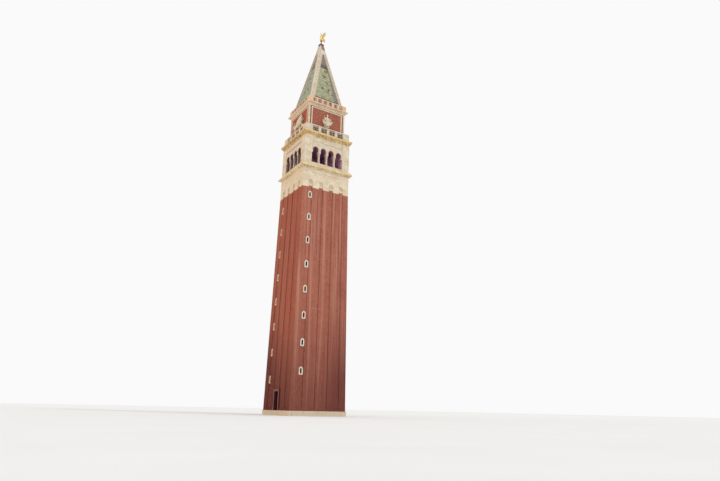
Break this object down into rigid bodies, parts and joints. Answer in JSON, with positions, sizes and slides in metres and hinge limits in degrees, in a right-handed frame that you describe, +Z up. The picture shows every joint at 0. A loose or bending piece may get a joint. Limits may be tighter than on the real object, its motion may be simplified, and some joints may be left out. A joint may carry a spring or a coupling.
{
  "type": "brick bell tower, 1:10 scale model",
  "caption": "Tall square brick bell tower with a stone arcaded belfry, brick attic, copper spire and a turning gilded angel vane.",
  "frame": {"origin": "centre of the tower's plan at ground level", "axes": "+Z up along the tower's axis, the front side faces -Y, the doorway side faces -X"},
  "size_m": [1.35, 1.35, 9.86],
  "materials": {
    "brick": "weathered brickwork",
    "white_stone": "weathered, dressed",
    "floor_stone": "worn slabs",
    "copper": "green patina",
    "dark_bronze": "dark, weathered",
    "gilding": "gilded"
  },
  "bodies": {
    "tower": {"arcade_back": "white_stone", "arcade_front": "white_stone", "arcade_left": "white_stone", "arcade_mouldings": "white_stone", "arcade_right": "white_stone", "attic_base": "white_stone", "attic_trim": "white_stone", "attic_wall_back": "brick", "attic_wall_front": "brick", "attic_wall_left": "brick", "attic_wall_right": "brick", "belfry_cornice": "white_stone", "column_pairs": "white_stone", "corner_dies": "white_stone", "corner_piers": "white_stone", "crown_cornice": "white_stone", "crown_parapet": "white_stone", "door_frame": "white_stone", "figure_reliefs": "white_stone", "finial_cap": "dark_bronze", "floors": "floor_stone", "lion_reliefs": "white_stone", "pier_imposts": "white_stone", "plinth": "white_stone", "shaft_back": "brick", "shaft_front": "brick", "shaft_left": "brick", "shaft_right": "brick", "sill_cornice": "white_stone", "sill_walls": "white_stone", "slit_frames": "white_stone", "spire_back": "copper", "spire_front": "copper", "spire_left": "copper", "spire_ribs": "white_stone", "spire_right": "copper", "spire_tip": "white_stone", "stone_band_back": "white_stone", "stone_band_front": "white_stone", "stone_band_left": "white_stone", "stone_band_right": "white_stone", "terrace_balustrade": "white_stone", "vane_spindle": "dark_bronze"},
    "angel": {"angel_figure": "gilding", "angel_wings": "gilding"}
  },
  "joints": [
    {"name": "vane_turn", "type": "hinge", "parent": "tower", "child": "angel", "pos_m": [0, 0, 9.58], "axis": [0, 0, 1], "continuous": true}
  ]
}
